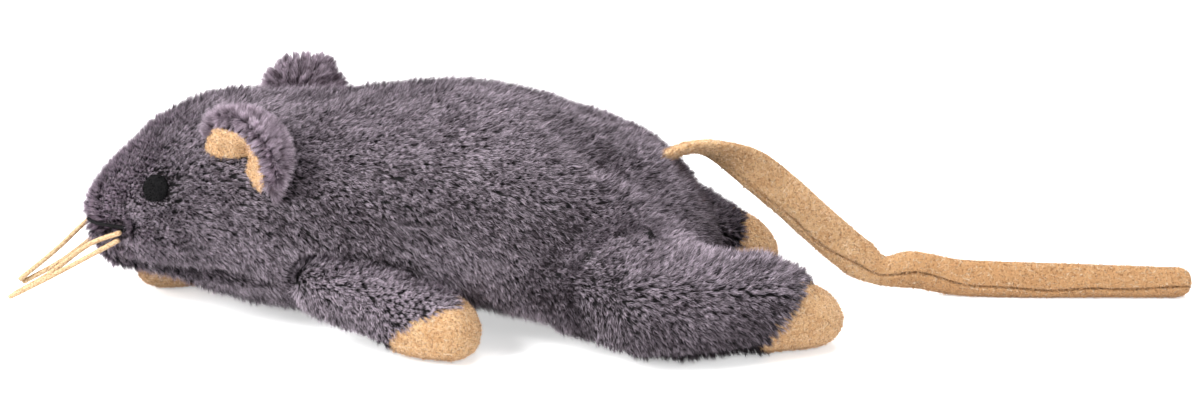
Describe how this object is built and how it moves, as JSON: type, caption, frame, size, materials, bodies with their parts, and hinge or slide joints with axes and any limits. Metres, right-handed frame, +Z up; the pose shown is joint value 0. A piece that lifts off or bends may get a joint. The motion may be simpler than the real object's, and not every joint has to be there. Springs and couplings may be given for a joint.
{
  "type": "plush catnip mouse",
  "caption": "Stuffed plush mouse cat toy lying on its belly, with soft limbs, hooded ears, a folded suede tail, cord whiskers and a catnip sachet in its filling.",
  "frame": {"origin": "on the floor, at the flat of the belly under the middle of the body", "axes": "+X from nose to tail, +Y to the mouse's own right, +Z up"},
  "size_m": [0.2832, 0.0876, 0.0565],
  "materials": {
    "plush": "long grey-mauve pile combed from nose to tail",
    "suede": "short-napped tan suede cloth with darker flecks",
    "felt": "matt black felt",
    "cord": "twisted waxed cord",
    "fibre": "loose white polyester fibre",
    "cotton": "unbleached plain-weave cotton",
    "herb": "dried crumbled leaf"
  },
  "bodies": {
    "torso": {"left_eye": "felt", "right_eye": "felt", "left_side_panel": "plush", "right_side_panel": "plush", "belly_panel": "plush", "front_stuffing": "fibre", "rear_stuffing": "fibre", "sachet_top": "cotton", "sachet_bottom": "cotton", "catnip_fill": "herb", "left_whisker_upper": "cord", "left_whisker_lower": "cord", "right_whisker_upper": "cord", "right_whisker_lower": "cord"},
    "left_arm": {"left_arm_upper": "plush", "left_arm_lower": "plush", "left_front_paw": "suede", "left_arm_stuffing": "fibre"},
    "left_leg": {"left_leg_upper": "plush", "left_leg_lower": "plush", "left_hind_foot": "suede", "left_leg_stuffing": "fibre"},
    "left_ear": {"left_ear_back": "plush", "left_ear_lining": "suede"},
    "right_arm": {"right_arm_upper": "plush", "right_arm_lower": "plush", "right_front_paw": "suede", "right_arm_stuffing": "fibre"},
    "right_leg": {"right_leg_upper": "plush", "right_leg_lower": "plush", "right_hind_foot": "suede", "right_leg_stuffing": "fibre"},
    "right_ear": {"right_ear_back": "plush", "right_ear_lining": "suede"},
    "tail_base": {"tail_base": "suede"},
    "tail_end": {"tail_end": "suede"}
  },
  "joints": [
    {"name": "left_shoulder", "type": "hinge", "parent": "torso", "child": "left_arm", "pos_m": [-0.0225, -0.02142, 0.0146], "axis": [0, 0, -1], "range_deg": [0, 85], "stiffness_Nm_per_rad": 0.004},
    {"name": "left_hip", "type": "hinge", "parent": "torso", "child": "left_leg", "pos_m": [0.05179, -0.03019, 0.014], "axis": [0, 0, -1], "range_deg": [0, 45], "stiffness_Nm_per_rad": 0.006},
    {"name": "left_ear_fold", "type": "hinge", "parent": "torso", "child": "left_ear", "pos_m": [-0.03083, -0.01162, 0.05037], "axis": [-0.7583, 0.5093, 0.4069], "range_deg": [0, 35], "stiffness_Nm_per_rad": 0.003},
    {"name": "right_shoulder", "type": "hinge", "parent": "torso", "child": "right_arm", "pos_m": [-0.0315, 0.02167, 0.0146], "axis": [0, 0, -1], "range_deg": [0, 90], "stiffness_Nm_per_rad": 0.004},
    {"name": "right_hip", "type": "hinge", "parent": "torso", "child": "right_leg", "pos_m": [0.03925, 0.02841, 0.014], "axis": [0, 0, 1], "range_deg": [0, 45], "stiffness_Nm_per_rad": 0.006},
    {"name": "right_ear_fold", "type": "hinge", "parent": "torso", "child": "right_ear", "pos_m": [-0.02641, 0.01265, 0.04784], "axis": [0.9114, 0.0619, -0.4069], "range_deg": [0, 35], "stiffness_Nm_per_rad": 0.003},
    {"name": "tail_root", "type": "hinge", "parent": "torso", "child": "tail_base", "pos_m": [0.0634, -0.00152, 0.03856], "axis": [0, 0, 1], "range_deg": [-35, 35], "stiffness_Nm_per_rad": 0.002},
    {"name": "tail_bend", "type": "hinge", "parent": "tail_base", "child": "tail_end", "pos_m": [0.1105, 0.0079, 0.0062], "axis": [0, 0, 1], "range_deg": [-45, 45], "stiffness_Nm_per_rad": 0.0015}
  ]
}
